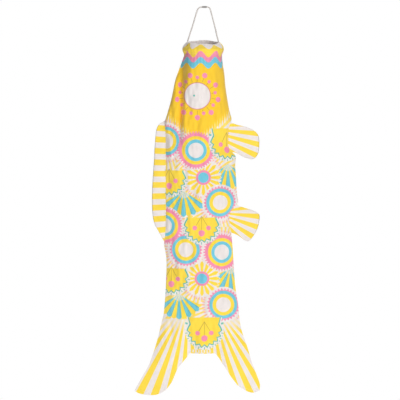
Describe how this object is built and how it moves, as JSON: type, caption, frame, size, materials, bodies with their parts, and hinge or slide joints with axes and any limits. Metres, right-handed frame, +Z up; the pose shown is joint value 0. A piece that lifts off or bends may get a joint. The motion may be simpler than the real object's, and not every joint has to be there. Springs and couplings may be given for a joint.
{
  "type": "fish-shaped fabric windsock",
  "caption": "Long fish-shaped tube of printed cloth, held open by a hoop at its mouth, with side fins and a forked tail, hung from a cord bridle.",
  "frame": {"origin": "top of the cord bridle, where a hook or a pole's ring carries the windsock", "axes": "+Z up along the hanging windsock; +X from the fish's back towards its belly; -Y is its front, and the front and rear panels meet in the plane y = 0"},
  "size_m": [0.3601, 0.1158, 1.1027],
  "materials": {
    "cord": "soft twisted off-white cord",
    "binding_thread": "grey thread wound tightly round the cord",
    "hoop_plastic": "matte white plastic rod",
    "ferrule_metal": "satin tube, crimped at both ends",
    "hem_cloth": "printed plain-weave cloth, sewn in a sleeve",
    "body_cloth": "printed plain-weave cloth, matte",
    "fin_cloth": "striped plain-weave cloth, double layer",
    "tail_cloth": "striped plain-weave cloth, double layer"
  },
  "bodies": {
    "bridle": {"bridle_cord": "cord", "top_splice": "binding_thread"},
    "head": {"mouth_hem": "hem_cloth", "mouth_hoop": "hoop_plastic", "hoop_ferrule": "ferrule_metal", "left_hoop_tie": "cord", "right_hoop_tie": "cord", "head_front_panel": "body_cloth", "head_rear_panel": "body_cloth"},
    "trunk": {"trunk_front_panel": "body_cloth", "trunk_rear_panel": "body_cloth"},
    "tail": {"tail_front_panel": "body_cloth", "tail_rear_panel": "body_cloth"},
    "dorsal_fin": {"dorsal_fin_front": "fin_cloth", "dorsal_fin_rear": "fin_cloth"},
    "pectoral_fin": {"pectoral_fin_front": "fin_cloth", "pectoral_fin_rear": "fin_cloth"},
    "ventral_fin": {"ventral_fin_front": "fin_cloth", "ventral_fin_rear": "fin_cloth"},
    "left_lobe": {"left_lobe_front": "tail_cloth", "left_lobe_rear": "tail_cloth"},
    "right_lobe": {"right_lobe_front": "tail_cloth", "right_lobe_rear": "tail_cloth"}
  },
  "joints": [
    {"name": "bridle_swing", "type": "hinge", "parent": "bridle", "child": "head", "pos_m": [0, 0, -0.0973], "axis": [1, 0, 0], "range_deg": [-75, 75]},
    {"name": "neck_bend", "type": "hinge", "parent": "head", "child": "trunk", "pos_m": [0, 0, -0.321], "axis": [1, 0, 0], "range_deg": [-40, 40]},
    {"name": "tail_bend", "type": "hinge", "parent": "trunk", "child": "tail", "pos_m": [0, 0, -0.678], "axis": [1, 0, 0], "range_deg": [-45, 45]},
    {"name": "dorsal_fin_flap", "type": "hinge", "parent": "trunk", "child": "dorsal_fin", "pos_m": [-0.107, 0, -0.49], "axis": [0, 0, 1], "range_deg": [-60, 60], "stiffness_Nm_per_rad": 0.0004},
    {"name": "pectoral_fin_flap", "type": "hinge", "parent": "trunk", "child": "pectoral_fin", "pos_m": [0.0745, 0, -0.366], "axis": [0, 0, 1], "range_deg": [-80, 80], "stiffness_Nm_per_rad": 0.0004},
    {"name": "ventral_fin_flap", "type": "hinge", "parent": "trunk", "child": "ventral_fin", "pos_m": [0.085, 0, -0.6], "axis": [0, 0, 1], "range_deg": [-80, 80], "stiffness_Nm_per_rad": 0.0004},
    {"name": "left_lobe_flap", "type": "hinge", "parent": "tail", "child": "left_lobe", "pos_m": [-0.038, 0, -0.9837], "axis": [0.9622, 0, -0.2723], "range_deg": [-50, 50]},
    {"name": "right_lobe_flap", "type": "hinge", "parent": "tail", "child": "right_lobe", "pos_m": [0.032, 0, -0.9837], "axis": [0.9622, 0, 0.2723], "range_deg": [-50, 50]}
  ]
}
